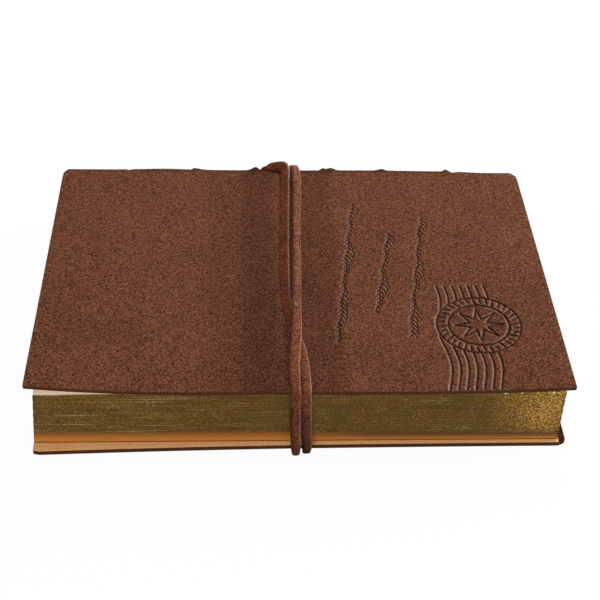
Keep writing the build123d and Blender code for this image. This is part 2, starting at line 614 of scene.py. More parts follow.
@dataclass(frozen=True)
class SuedeLace:
    """Suede lace with a short nap and pale raw edges, with painted shade on its lower strand on the front
    cover, on its left edges and down the fore-edge, and a painted highlight that strengthens the pale rims
    and specks on the right edge and towards the spine.

    A pair that ends in share is the least share of a colour and what a pattern or a place adds to it.
    """

    cover_top: float
    light: Colour = (0.290, 0.090, 0.042)
    dark: Colour = (0.046, 0.013, 0.007)
    # Pale raw suede, also used as a painted highlight.
    raw_edge_and_highlight: Colour = (0.62, 0.36, 0.26)
    # Painted shade.
    painted_shade_dark: Colour = (0.028, 0.009, 0.006)
    # Painted shade that dims the lower strand on the front cover.
    wear_and_shade: Colour = (0.70, 0.65, 0.60)
    nap_size: float = 0.34
    cloud_size: float = 6.0
    tone_middle: float = 0.54
    fibre_weight: float = 1.3
    nap_weight: float = 1.0
    cloud_weight: float = 0.7
    tone_range: Point2 = (-0.1, 1.1)
    lower_shade_x: float = -1.9
    lower_shade_slope: float = 0.0315
    lower_shade_side: Point2 = (0.3, -0.3)
    lower_shade_end: Point2 = (-44.0, -34.0)
    lower_shade_drop: float = 3.0
    fore_drop: Point2 = (1.0, 9.0)
    left_edge: Point2 = (0.1, -0.8)
    left_share: Point2 = (0.35, 0.3)
    fore_shade: float = 0.12
    hollow_x: Point2 = (0.0, 1.0)
    hollow_z: Point2 = (14.0, 4.0)
    hollow_edge: Point2 = (0.8, 0.1)
    hollow_share: Point2 = (0.2, 0.3)
    pale_y: Point2 = (-54.0, -18.0)
    speck_range: Point2 = (0.35, 0.95)
    speck_share: Point2 = (0.02, 0.17)
    rim_edge: Point2 = (0.35, 0.85)
    rim_range: Point2 = (0.2, 0.9)
    rim_grain: Point2 = (0.4, 0.6)
    rim_share: Point2 = (0.6, 0.2)

    def material(self) -> bpy.types.Material:
        """Builds the finish and returns its material."""
        shader = Surface("suede_lace")
        nap = shader.noise(self.nap_size, 1.0)
        fibre = shader.pebbles(self.nap_size)
        cloud = shader.noise(self.cloud_size, 3.0)
        edge = shader.mark(Mark.EDGE)
        x, y, z = (shader.axis(name) for name in "XYZ")
        tone = (
            self.tone_middle
            + self.fibre_weight * (fibre - MIDDLE)
            + self.nap_weight * (nap - MIDDLE)
            + self.cloud_weight * (cloud - MIDDLE)
        )
        colour = shader.mix(tone.step(*self.tone_range), self.dark, self.light)
        # Painted shade: the lower strand is dimmed where it lies on the front cover.
        lower = (x - self.lower_shade_x - self.lower_shade_slope * y).step(*self.lower_shade_side) * y.step(*self.lower_shade_end)
        lower = lower * z.step(self.cover_top - self.lower_shade_drop, self.cover_top)
        colour = shader.mix(lower, colour, self.wear_and_shade, "MULTIPLY")
        # Painted shade on the left edges, down the fore-edge and on the lower part of the right-hand strand
        # there.
        fore = z.step(*(self.cover_top - drop for drop in self.fore_drop))
        left = fore.scaled(*self.left_share) * edge.step(*self.left_edge) * (1 - lower)
        hollow = z.step(*self.hollow_z).scaled(*self.hollow_share)
        hollow = hollow * x.step(*self.hollow_x) * edge.step(*self.hollow_edge)
        colour = shader.mix(left + fore * (self.fore_shade + hollow), colour, self.painted_shade_dark)
        # Pale raw suede in rims and specks, partly a painted highlight: stronger on the lit right edge and
        # towards the spine.
        far = y.step(*self.pale_y)
        specks = far.scaled(*self.speck_share) * (1 - lower) * tone.step(*self.speck_range)
        ragged = tone.step(*self.rim_range).scaled(*self.rim_grain)
        rim = far.scaled(*self.rim_share) * edge.step(*self.rim_edge) * ragged
        colour = shader.mix(specks + rim, colour, self.raw_edge_and_highlight)
        return shader.finish(
            Base_Color=colour,
            Roughness=nap.scaled(0.8, 0.15),
            Normal=shader.bump(nap, 0.2, 0.9),
            Specular_IOR_Level=0.02,
        )


@dataclass(frozen=True)
class Book:
    """Places of the book's main surfaces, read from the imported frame."""

    length: float
    spine_y: float
    back_edge_y: float
    front_edge_y: float
    back_z: float
    cover_top: float
    leather: float
    page_low: Vector
    page_high: Vector
    signature_count: int = 6

    @property
    def half(self) -> float:
        """Half the cover's length."""
        return self.length / 2

    @property
    def signature(self) -> float:
        """Thickness of one folded signature."""
        return (self.page_high.z - self.page_low.z) / self.signature_count

    @property
    def sewing_rows(self) -> list[float]:
        """Heights of the stitch rows, one for each signature."""
        return [self.page_low.z + self.signature * (index + 0.5) for index in range(self.signature_count)]

    @property
    def slit_rows(self) -> Point2:
        """Heights of the upper and the lower lace slit."""
        middle = (self.page_low.z + self.page_high.z) / 2
        return (middle + self.signature, middle - self.signature)

    @classmethod
    def from_frame(cls, page_setback: float = 1.3) -> "Book":
        """Reads the cover's and the page block's boxes.

        Args:
            page_setback: Distance from the front cover's fore-edge back to the pages.

        Returns:
            The book's places in millimetres.
        """
        cover_low, cover_high = (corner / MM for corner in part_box(SubPart.COVER.node))
        page_low, page_high = (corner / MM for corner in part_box(SubPart.PAGES.node))
        leather = page_low.z - cover_low.z - CONTACT_GAP
        return cls(
            length=cover_high.x - cover_low.x,
            spine_y=cover_high.y,
            back_edge_y=cover_low.y,
            front_edge_y=page_low.y - page_setback,
            back_z=cover_low.z,
            cover_top=page_high.z + CONTACT_GAP + leather,
            leather=leather,
            page_low=page_low,
            page_high=page_high,
        )


def smooth_fall(share: float) -> float:
    """Falls smoothly from 1 at a share of 0 to 0 at a share of 1 or more."""
    rest = max(0.0, 1.0 - share)
    return rest * rest * (3 - 2 * rest)


def plane_tree(points: Sequence[Point2]) -> KDTree:
    """Search tree of points in a plane."""
    tree = KDTree(len(points))
    for index, (x, y) in enumerate(points):
        tree.insert((x, y, 0.0), index)
    tree.balance()
    return tree


def finish_piece(
    name: str,
    bm: bmesh.types.BMesh,
    materials: Sequence[bpy.types.Material],
    part: SubPart,
) -> bpy.types.Object:
    """Turns a bmesh in millimetres into a smooth-shaded piece in metres, tied to its packed sub-part.

    Args:
        name: Name of the piece.
        bm: Mesh of the piece, freed here.
        materials: Materials by face index.
        part: Sub-part that the piece stands for.

    Returns:
        The linked object, at the origin.
    """
    bmesh.ops.recalc_face_normals(bm, faces=bm.faces[:])
    bmesh.ops.scale(bm, vec=(MM, MM, MM), verts=bm.verts[:])
    mesh = bpy.data.meshes.new(name)
    bm.to_mesh(mesh)
    bm.free()
    mesh.shade_smooth()
    for material in materials:
        mesh.materials.append(material)
    piece = bpy.data.objects.new(name, mesh)
    bpy.context.collection.objects.link(piece)
    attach(piece, "root")
    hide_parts(part.node)
    return piece


def smooth_line(points: Sequence[Sequence[float]], resolution: int = 12) -> list[Vector]:
    """Reads points from a smooth NURBS line.

    Args:
        points: Control points.
        resolution: Points for each span.

    Returns:
        Points along the line, in order.
    """
    curve = bpy.data.curves.new("line", "CURVE")
    curve.dimensions = "3D"
    curve.resolution_u = resolution
    spline = curve.splines.new("NURBS")
    spline.points.add(len(points) - 1)
    for control, point in zip(spline.points, points):
        control.co = (*point[:3], 1.0)
    spline.order_u = 3
    spline.use_endpoint_u = True
    holder = bpy.data.objects.new("line", curve)
    mesh = bpy.data.meshes.new_from_object(holder)
    line = [vertex.co.copy() for vertex in mesh.vertices]
    bpy.data.objects.remove(holder)
    bpy.data.curves.remove(curve)
    bpy.data.meshes.remove(mesh)
    return line


def even_line(line: Sequence[Vector], step: float) -> list[Vector]:
    """Spaces the points of a line evenly.

    Args:
        line: Points along the line.
        step: Distance between the new points, about.

    Returns:
        Evenly spaced points from the first to the last.
    """
    lengths = [0.0]
    for before, after in zip(line, line[1:]):
        lengths.append(lengths[-1] + (after - before).length)
    count = max(2, round(lengths[-1] / step))
    even = []
    span = 0
    for index in range(count + 1):
        distance = lengths[-1] * index / count
        while span < len(line) - 2 and lengths[span + 1] < distance:
            span += 1
        share = (distance - lengths[span]) / max(1e-9, lengths[span + 1] - lengths[span])
        even.append(line[span].lerp(line[span + 1], share))
    return even


@dataclass
class Station:
    """One place along a swept piece: its centre, its section's two directions and a change of the section."""

    centre: Vector
    across: Vector
    out: Vector
    change: float


def sweep(
    bm: bmesh.types.BMesh,
    stations: Sequence[Station],
    section: Callable[[float, Station], Point2],
    sides: int,
) -> None:
    """Draws a closed section along stations, ring by ring, and caps both ends.

    Each point's edge mark runs across the section, from -1 at one edge to 1 at the other.

    Args:
        bm: Mesh that gets the sweep.
        stations: Places along the sweep.
        section: Gives a section point, across and out, for an angle round it and a station.
        sides: Number of points round the section.
    """
    layer = bm.verts.layers.float.get(Mark.EDGE.value) or bm.verts.layers.float.new(Mark.EDGE.value)
    ring = bmesh.ops.create_circle(bm, cap_ends=False, segments=sides, radius=1.0)["verts"]

    def place(verts: Sequence[bmesh.types.BMVert], station: Station) -> None:
        """Moves one ring to its station."""
        for side, vert in enumerate(verts):
            angle = 2 * math.pi * side / sides
            across, out = section(angle, station)
            vert.co = station.centre + station.across * across + station.out * out
            vert[layer] = math.cos(angle)

    def ring_edges(verts: Sequence[bmesh.types.BMVert]) -> list[bmesh.types.BMEdge]:
        """Edges of one ring, in the order of its points."""
        return [bm.edges.get((vert, verts[(side + 1) % sides])) for side, vert in enumerate(verts)]

    place(ring, stations[0])
    first = ring_edges(ring)
    edges = first
    for station in stations[1:]:
        extruded = bmesh.ops.extrude_edge_only(bm, edges=edges)["geom"]
        fresh = {item for item in extruded if isinstance(item, bmesh.types.BMVert)}
        ring = [next(edge.other_vert(vert) for edge in vert.link_edges if edge.other_vert(vert) in fresh)
                for vert in ring]
        place(ring, station)
        edges = ring_edges(ring)
    bmesh.ops.contextual_create(bm, geom=first)
    bmesh.ops.contextual_create(bm, geom=edges)


def round_edges(bm: bmesh.types.BMesh, edges: list[bmesh.types.BMEdge], radius: float, segments: int) -> None:
    """Rounds some edges of a mesh to a radius, in segments, and brings the normals up to date."""
    bmesh.ops.bevel(
        bm, geom=edges, offset=radius, segments=segments, profile=0.5, affect="EDGES", material=-1,
    )
    bm.normal_update()


@dataclass(frozen=True)
class PressTool:
    """Rounded tool that presses a line into leather and raises a low lip beside it.

    The leather's cells near the line are divided by a number of cuts.
    """

    half: float
    depth: float
    lip_reach: float
    lip_height: float
    cuts: int

    def section(self, distance: float) -> Point2:
        """Shape of the pressed line.

        Args:
            distance: Distance from the middle of the line.

        Returns:
            How much the place is pressed and how much it is raised, each from 0 to 1.
        """
        groove = smooth_fall(distance / self.half)
        return (groove, smooth_fall(distance / self.lip_reach) * (1 - groove))


FINE_TOOL = PressTool(half=0.42, depth=0.42, lip_reach=0.7, lip_height=0.12, cuts=8)
BOLD_TOOL = PressTool(half=0.60, depth=0.60, lip_reach=1.1, lip_height=0.22, cuts=6)


@dataclass
class Engraving:
    """Blind-pressed ornament of the front cover: fern fronds and a compass ring with wave lines.

    Places are X along the book and the distance from the front cover's fore-edge.
    """

    ring_centre: Point2 = (64.0, 34.0)
    ring_radii: Point2 = (15.0, 10.8)
    disc_share: float = 0.3
    star_radii: Point2 = (8.6, 3.2)
    star_points: int = 8
    tick_count: int = 36
    long_tick_every: int = 3
    short_tick: float = 0.25
    tick_inset: Point2 = (0.6, 0.7)
    tick_lean: float = 0.04
    wave_start: Point2 = (50.6, 0.8)
    wave_end: float = 55.8
    wave_pitch: float = 2.9
    wave_count: int = 7
    wave_length: float = 36.0
    wave_swing: float = 1.3
    wave_phase: float = 0.6
    wave_clear: float = 0.6
    fern_lines: tuple[tuple[Point2, Point2], ...] = (
        ((50.0, 98.5), (39.4, 28.5)),
        ((36.5, 88.7), (28.4, 41.0)),
        ((23.7, 107.9), (13.4, 25.0)),
    )
    fern_swing: float = 0.35
    fern_wave: float = 13.0
    leaf_pitch: float = 1.15
    leaf_lengths: Point2 = (1.5, 4.6)
    leaf_slant: float = 52.0
    leaf_bend: Point2 = (1.2, 0.6)
    leaf_wave: float = 31.0
    step: float = 0.12

    def curve(self, at: Callable[[float], Point2], length: float) -> Stroke:
        """Samples a stroke.

        Args:
            at: Point for a share from 0 to 1.
            length: Length of the stroke, about.

        Returns:
            Points a step apart.
        """
        count = max(2, round(length / self.step))
        return [at(index / count) for index in range(count + 1)]

    def line(self, start: Point2, end: Point2) -> Stroke:
        """Straight stroke from start to end."""
        first, last = Vector(start), Vector(end)
        return self.curve(lambda share: tuple(first.lerp(last, share)), (last - first).length)

    def polar(self, radius: float, angle: float) -> Point2:
        """Point round the ring's centre, for an angle in radians."""
        x, y = self.ring_centre
        return (x + radius * math.cos(angle), y + radius * math.sin(angle))

    def disc(self, x: float, from_edge: float) -> float:
        """Share by which the leather inside the ring is darkened, at a place on the front cover."""
        outer, inner = self.ring_radii
        radius = (Vector((x, from_edge)) - Vector(self.ring_centre)).length
        return self.disc_share * smooth_fall(max(0.0, (radius - inner) / (outer - inner)))

    def ring(self) -> list[Stroke]:
        """Two circles, the ticks between them and a compass star inside."""
        full = 2 * math.pi
        strokes = []
        for radius in self.ring_radii:
            strokes.append(self.curve(lambda share, r=radius: self.polar(r, full * share), full * radius))
        outer, inner = self.ring_radii
        low_inset, high_inset = self.tick_inset
        for tick in range(self.tick_count):
            angle = full * tick / self.tick_count
            reach = self.short_tick if tick % self.long_tick_every else 0.0
            low = inner + low_inset + reach * (outer - inner)
            high = outer - high_inset
            strokes.append(self.line(self.polar(low, angle), self.polar(high, angle + self.tick_lean)))
        corners = []
        for index in range(2 * self.star_points):
            radius = self.star_radii[index % 2]
            corners.append(self.polar(radius, full * index / (2 * self.star_points)))
        for first, last in zip(corners, corners[1:] + corners[:1]):
            strokes.append(self.line(first, last))
        return strokes

    def waves(self) -> list[Stroke]:
        """Wave lines that run past the ring and stop where they meet it."""
        strokes = []
        start_x, start_y = self.wave_start
        span = self.wave_end - start_y
        centre = Vector(self.ring_centre)
        clear = self.ring_radii[0] + self.wave_clear
        for index in range(self.wave_count):

            def at(share: float, base: float = start_x + index * self.wave_pitch) -> Point2:
                """Point of one wave line."""
                y = start_y + span * share
                turn = 2 * math.pi * (y - start_y) / self.wave_length - self.wave_phase
                return (base + self.wave_swing * math.sin(turn), y)

            points = self.curve(at, span)
            strokes.append([point for point in points if (Vector(point) - centre).length > clear])
        return strokes

    def fern(self, start: Point2, end: Point2) -> list[Stroke]:
        """Frond of a fern: a gently wavy stem with narrow leaves, longer on its head side.

        Args:
            start: First end of the frond.
            end: Last end of the frond.

        Returns:
            The stem, then one stroke for each leaf.
        """
        first, last = Vector(start), Vector(end)
        length = (last - first).length
        along = (last - first).normalized()
        headwards = Vector((-along.y, along.x))
        short, long = self.leaf_lengths

        def stem(share: float) -> Vector:
            """Point of the wavy stem."""
            swing = self.fern_swing * math.sin(2 * math.pi * share * length / self.fern_wave)
            return first + along * share * length + headwards * swing

        strokes = [self.curve(lambda share: tuple(stem(share)), length)]
        count = int(length / self.leaf_pitch)
        for index in range(count):
            root = stem((index + 0.5) / count)
            swell = 0.5 + 0.5 * math.cos(2 * math.pi * index * self.leaf_pitch / self.leaf_wave)
            way, reach = (1, short + (long - short) * swell ** 2) if index % 2 else (-1, short)

            def at(share: float, root: Vector = root, way: int = way, reach: float = reach) -> Point2:
                """Point of one leaf, which leaves the stem at a slant and bends along it."""
                turn = math.radians(self.leaf_slant) * (self.leaf_bend[0] - self.leaf_bend[1] * share)
                heading = along * math.cos(turn) + headwards * way * math.sin(turn)
                return tuple(root + reach * share * heading)

            strokes.append(self.curve(at, reach))
        return strokes

    def strokes(self) -> dict[PressTool, list[Stroke]]:
        """Strokes of the ornament, by the tool that presses them."""
        ferns = []
        for start, end in self.fern_lines:
            ferns.extend(self.fern(start, end))
        return {FINE_TOOL: ferns, BOLD_TOOL: self.ring() + self.waves()}


class CoverFace(Enum):
    """Material index of each side of the cover's leather."""

    GRAIN = 0
    FLESH = 1
    CUT = 2


@dataclass(frozen=True)
class Pucker:
    """Swell or dip of the upper fold at a place along the book, with a reach to each side of it."""

    x: float
    rise: float
    before: float
    after: float

    def height(self, x: float) -> float:
        """Rise at a place along the book."""
        reach = self.before if x < self.x else self.after
        return self.rise * math.exp(-(((x - self.x) / reach) ** 2))


@dataclass
class Cover:
    """One sheet of leather, cut flat, pressed with its ornament and folded twice at the spine.

    A pair of sizes is the one at the tail and the one at the head.
    """

    book: Book
    engraving: Engraving = field(default_factory=Engraving)
    fold_radius: float = 2.2
    cell: float = 2.0
    fold_cell: float = 0.8
    back_cell: float = 4.0
    corner_round: float = 0.5
    rim_round: float = 0.2
    hinge_flat: float = 4.0
    tail_flat: float = -30.0
    tail_lift: float = 3.6
    head_flat: float = 40.0
    head_lift: float = 1.8
    fore_skew: float = 0.3
    spine_skew: float = 0.8
    back_skew: Point2 = (1.15, 0.85)
    back_trim: float = 0.6
    back_droop: Point2 = (1.2, 0.45)
    back_curl: Point2 = (0.7, 1.5)
    curl_reach: float = 2.6
    back_stand: float = 0.2
    side_stand: float = 0.35
    edge_flare: float = 0.42
    flare_reach: float = 6.0
    puckers: tuple[Pucker, ...] = (
        Pucker(-92.5, -1.3, 1.1, 1.1), Pucker(-65.9, -0.35, 0.9, 0.9), Pucker(-52.0, 0.4, 12.0, 12.0),
        Pucker(-39.8, 0.65, 0.45, 3.2), Pucker(-14.4, 1.35, 2.0, 1.6), Pucker(13.0, 0.8, 0.9, 1.2),
        Pucker(16.4, 1.0, 2.2, 1.8), Pucker(30.0, 0.25, 25.0, 28.0), Pucker(37.6, 0.65, 2.2, 1.2),
        Pucker(63.8, 0.85, 1.1, 0.9), Pucker(66.6, -0.4, 0.8, 1.6), Pucker(80.0, -0.5, 9.0, 60.0),
        Pucker(92.5, -1.3, 1.3, 1.3),
    )
    pucker_reach: float = 3.6
    fold_shade_reach: float = 3.2
    stations: tuple[float, ...] = (-65.2, -36.8, -14.2, 14.2, 36.8, 65.2)
    hole_radius: float = 0.9
    hole_depth: float = 0.5
    slit_x: float = 2.4
    slit_half: Point2 = (1.85, 0.9)
    slit_reach: float = 5.0
    side_normal: float = 0.75
    divided_share: float = 0.2
    hole_cuts: int = 3
    pucker_cuts: int = 3
    pucker_near: float = 4.5
    groove_near: float = 0.6
    swell_shade: float = 0.5
    # Strength of the painted shade in a groove and of the painted highlight on its lip, and the shade on its
    # headward and tailward walls.
    groove_shade: float = 1.7
    lip_shade: float = 1.9
    side_shade: Point2 = (0.75, 0.25)

    def __post_init__(self) -> None:
        """Works out where each panel begins along the flat sheet."""
        arc = self.fold_radius * math.pi / 2
        self.fold_y = self.book.spine_y - self.fold_radius
        self.spine_height = self.book.cover_top - self.book.back_z - 2 * self.fold_radius
        self.back_end = self.fold_y - self.book.back_edge_y
        self.spine_start = self.back_end + arc
        self.spine_end = self.spine_start + self.spine_height
        self.front_start = self.spine_end + arc
        self.fold_middle = (self.spine_end + self.front_start) / 2
        self.front_depth = self.fold_y - self.book.front_edge_y
        self.sheet_depth = self.front_start + self.front_depth

    def flat_of_spine(self, z: float) -> float:
        """Place along the flat sheet of a height on the spine."""
        return self.spine_start + z - self.book.back_z - self.fold_radius

    def rows(self) -> list[float]:
        """Places of the sheet's rows, close together at the folds."""
        panels = (
            (0.0, self.back_end, self.back_cell),
            (self.back_end, self.front_start, self.fold_cell),
            (self.front_start, self.sheet_depth, self.cell),
        )
        places = [0.0]
        for start, end, cell in panels:
            count = round((end - start) / cell)
            places.extend(start + (end - start) * index / count for index in range(1, count + 1))
        return places

    def cut_slit(self, bm: bmesh.types.BMesh, middle: Vector) -> None:
        """Cuts one lace slit into the flat sheet, about its middle."""
        half_x, half_z = self.slit_half
        for axis, half in ((Vector((1, 0, 0)), half_x), (Vector((0, 1, 0)), half_z)):
            for way in (-1, 1):
                around = set()
                for face in bm.faces:
                    if (face.calc_center_median() - middle).length < self.slit_reach:
                        around.update((face, *face.edges, *face.verts))
                side = middle + way * half * axis
                bmesh.ops.bisect_plane(bm, geom=list(around), plane_co=side, plane_no=axis)
        slit = []
        for face in bm.faces:
            offset = face.calc_center_median() - middle
            if abs(offset.x) < half_x and abs(offset.y) < half_z:
                slit.append(face)
        bmesh.ops.delete(bm, geom=slit, context="FACES")

    def cut_blank(self, bm: bmesh.types.BMesh) -> None:
        """Cuts the flat sheet with its lace slits and gives it the leather's thickness."""
        rows = self.rows()
        columns = round(self.book.length / self.cell)
        bmesh.ops.create_grid(bm, x_segments=columns, y_segments=len(rows) - 1, size=1.0)
        for vert in bm.verts:
            row = round((vert.co.y + 1) / 2 * (len(rows) - 1))
            vert.co = Vector((vert.co.x * self.book.half, rows[row], 0.0))
        for row_z in self.book.slit_rows:
            self.cut_slit(bm, Vector((self.slit_x, self.flat_of_spine(row_z), 0.0)))
        bmesh.ops.solidify(bm, geom=bm.faces[:], thickness=self.book.leather)
        top = max(vert.co.z for vert in bm.verts)
        bmesh.ops.translate(bm, vec=(0, 0, -top), verts=bm.verts[:])

    def round_rim(self, bm: bmesh.types.BMesh) -> None:
        """Rounds the sheet's four corners and its rim, and gives each side its material.

        The inner side of the back cover takes the cut edge's dark finish at its head end.
        """
        half = self.book.half
        corners = []
        for edge in bm.edges:
            upright = abs(edge.verts[0].co.z - edge.verts[1].co.z) > self.book.leather / 2
            x, u = edge.verts[0].co.x, edge.verts[0].co.y
            if upright and abs(abs(x) - half) < NEAR and min(u, self.sheet_depth - u) < NEAR:
                corners.append(edge)
        round_edges(bm, corners, self.corner_round, segments=4)
        rim = []
        for edge in bm.edges:
            flat_sides = [abs(face.normal.z) > ALONG for face in edge.link_faces]
            if len(flat_sides) == 2 and flat_sides[0] != flat_sides[1]:
                rim.append(edge)
        round_edges(bm, rim, self.rim_round, segments=2)
        for face in bm.faces:
            centre = face.calc_center_median()
            is_dark_end = centre.x > half - self.cell and centre.y < self.back_end
            if face.normal.z > self.side_normal:
                face.material_index = CoverFace.GRAIN.value
            elif face.normal.z < -self.side_normal and not is_dark_end:
                face.material_index = CoverFace.FLESH.value
            else:
                face.material_index = CoverFace.CUT.value

    def refine(self, bm: bmesh.types.BMesh, points: Sequence[Point2], reach: float, cuts: int) -> None:
        """Divides the outer faces near some points.

        Args:
            bm: Flat sheet.
            points: Places on the sheet.
            reach: Distance within which faces are divided.
            cuts: Cuts for each edge.
        """
        tree = plane_tree(points)
        edges = set()
        for face in bm.faces:
            is_divided = face.calc_area() < self.divided_share * self.cell * self.fold_cell
            if face.material_index != CoverFace.GRAIN.value or is_divided:
                continue
            centre = face.calc_center_median()
            if tree.find((centre.x, centre.y, 0.0))[2] < reach:
                edges.update(face.edges)
        bmesh.ops.subdivide_edges(bm, edges=list(edges), cuts=cuts, use_grid_fill=True)

    def press(self, bm: bmesh.types.BMesh) -> None:
        """Presses the ornament and the sewing holes into the outer side."""
        holes = [(x, self.flat_of_spine(z)) for x in self.stations for z in self.book.sewing_rows]
        self.refine(bm, holes, self.cell, self.hole_cuts)
        swells = [(pucker.x, self.fold_middle) for pucker in self.puckers]
        self.refine(bm, swells, self.pucker_near, self.pucker_cuts)
        grooves = {}
        for tool, strokes in self.engraving.strokes().items():
            points = [point for stroke in strokes for point in stroke]
            grooves[tool] = [(x, self.sheet_depth - from_edge) for x, from_edge in points]
        for tool, points in grooves.items():
            self.refine(bm, points, self.groove_near * self.cell + tool.lip_reach, tool.cuts)
        pressed, raised, burnished = (
            bm.verts.layers.float.new(mark.value) for mark in (Mark.PRESSED_SHADE, Mark.LIP_HIGHLIGHT, Mark.DISC_AND_SHADE)
        )
        groove_trees = {tool: plane_tree(points) for tool, points in grooves.items()}
        hole_tree = plane_tree(holes)
        full, turned = self.side_shade
        for vert in bm.verts:
            if vert.co.z < -NEAR:
                continue
            flat = (vert.co.x, vert.co.y, 0.0)
            hole = smooth_fall(hole_tree.find(flat)[2] / self.hole_radius)
            vert.co.z -= hole * self.hole_depth
            # Painted shade inside the sewing hole.
            vert[pressed] = hole
            # Painted shade along the upper fold and on the puckers, and the stamped disc's own darkening.
            swell = max(0.0, self.pucker(vert.co.x, vert.co.y))
            rim = smooth_fall(abs(vert.co.y - self.fold_middle) / self.fold_shade_reach)
            disc = self.engraving.disc(vert.co.x, self.sheet_depth - vert.co.y)
            vert[burnished] = min(1.0, rim + self.swell_shade * swell + disc)
            for tool, tree in groove_trees.items():
                nearest, _, distance = tree.find(flat)
                groove, lip = tool.section(distance)
                vert.co.z += lip * tool.lip_height - groove * tool.depth
                # Painted shade in the groove, darker on its headward wall, which faces away from the light.
                tailward = max(-1.0, min(1.0, (nearest.x - vert.co.x) / tool.half))
                depth = min(1.0, self.groove_shade * groove) * (full - turned * tailward)
                vert[pressed] = max(vert[pressed], depth)
                # Painted highlight on the tailward lip only, which faces the light.
                vert[raised] = max(vert[raised], min(1.0, self.lip_shade * lip * max(0.0, tailward)))

    def lift(self, x: float, share: float) -> float:
        """Rise of the front cover above flat.

        Args:
            x: Place along the book.
            share: Place from the hinge, 0, to the fore-edge, 1.

        Returns:
            The rise in millimetres.
        """
        half = self.book.half
        tail = max(0.0, (self.tail_flat - x) / (half + self.tail_flat))
        head = max(0.0, (x - self.head_flat) / (half - self.head_flat))
        return (self.tail_lift * tail ** 2 + self.head_lift * head ** 2) * share

    def sag(self, x: float, share: float) -> float:
        """Height of the back cover's ends: they droop beside the lace, and their rims turn up.

        Args:
            x: Place along the book.
            share: Place from the spine, 0, to the fore-edge, 1.

        Returns:
            The height above the back cover's middle.
        """
        half = self.book.half
        end = int(x > 0)
        turn = max(0.0, 1 - (half - abs(x)) / self.curl_reach)
        return share * (self.back_curl[end] * turn ** 2 - self.back_droop[end] * (x / half) ** 2)

    def pucker(self, x: float, u: float) -> float:
        """Rise of the upper fold where the sewing pulls it, outwards in millimetres."""
        near_fold = math.exp(-(((u - self.fold_middle) / self.pucker_reach) ** 2))
        return near_fold * sum(pucker.height(x) for pucker in self.puckers)

    def fold_back(self, x: float, u: float, w: float) -> Vector:
        """Place of a point of the back cover, whose fore-edge is a little thicker than the sheet.

        Args:
            x: Place along the book.
            u: Place across the sheet, from the back cover's fore-edge.
            w: Height above the outer side, so below 0 in the leather.

        Returns:
            The point's place on the book.
        """
        half = self.book.half
        away = (self.back_end - u) / self.back_end
        skew = (self.back_skew[int(x > 0)] * x / half - self.back_stand) * away
        flare = self.edge_flare * smooth_fall(u / self.flare_reach) * (1 + w / self.book.leather)
        trim = self.back_trim * max(0.0, -x / half) * away
        place = Vector((x + trim, self.book.back_edge_y + u + skew, self.book.back_z - w - flare))
        return place + Vector((0, 0, self.sag(x, away)))

    def fold(self, x: float, u: float, w: float) -> Vector:
        """Folds one point of the flat sheet.

        Args:
            x: Place along the book.
            u: Place across the sheet, from the back cover's fore-edge.
            w: Height above the outer side, so below 0 in the leather.

        Returns:
            The point's place on the book.
        """
        book = self.book
        radius = self.fold_radius
        w += self.pucker(x, u)
        if u < self.back_end:
            return self.fold_back(x, u, w)
        if u < self.spine_start:
            turn = (u - self.back_end) / radius
            out = Vector((0, math.sin(turn), -math.cos(turn)))
            return Vector((x, self.fold_y, book.back_z + radius)) + out * (radius + w)
        if u < self.spine_end:
            return Vector((x, book.spine_y + w, book.back_z + radius + u - self.spine_start))
        if u < self.front_start:
            turn = (u - self.spine_end) / radius
            out = Vector((0, math.cos(turn), math.sin(turn)))
            return Vector((x, self.fold_y, book.cover_top - radius)) + out * (radius + w)
        away = u - self.front_start
        share = max(0.0, (away - self.hinge_flat) / (self.front_depth - self.hinge_flat))
        skew = self.fore_skew * max(0.0, x) / book.half * share
        return Vector((x, self.fold_y - away - skew, book.cover_top + self.lift(x, share) + w))

    def build(self) -> bpy.types.Object:
        """Builds the cover and returns it, dressed."""
        bm = bmesh.new()
        self.cut_blank(bm)
        self.round_rim(bm)
        self.press(bm)
        book = self.book
        for vert in bm.verts:
            vert.co = self.fold(*vert.co)
            from_edge = (vert.co.y - book.front_edge_y) / (book.spine_y - book.front_edge_y)
            vert.co.y -= self.spine_skew * vert.co.x / book.half * max(0.0, from_edge)
            vert.co.x *= 1 + self.side_stand / book.half
        materials = [finish.material() for finish in (GrainLeather(), FLESH_LEATHER, CUT_EDGE)]
        return finish_piece("journal_cover", bm, materials, SubPart.COVER)


class PageFace(Enum):
    """Material index of each side of the page block."""

    GILT = 0
    PAPER = 1


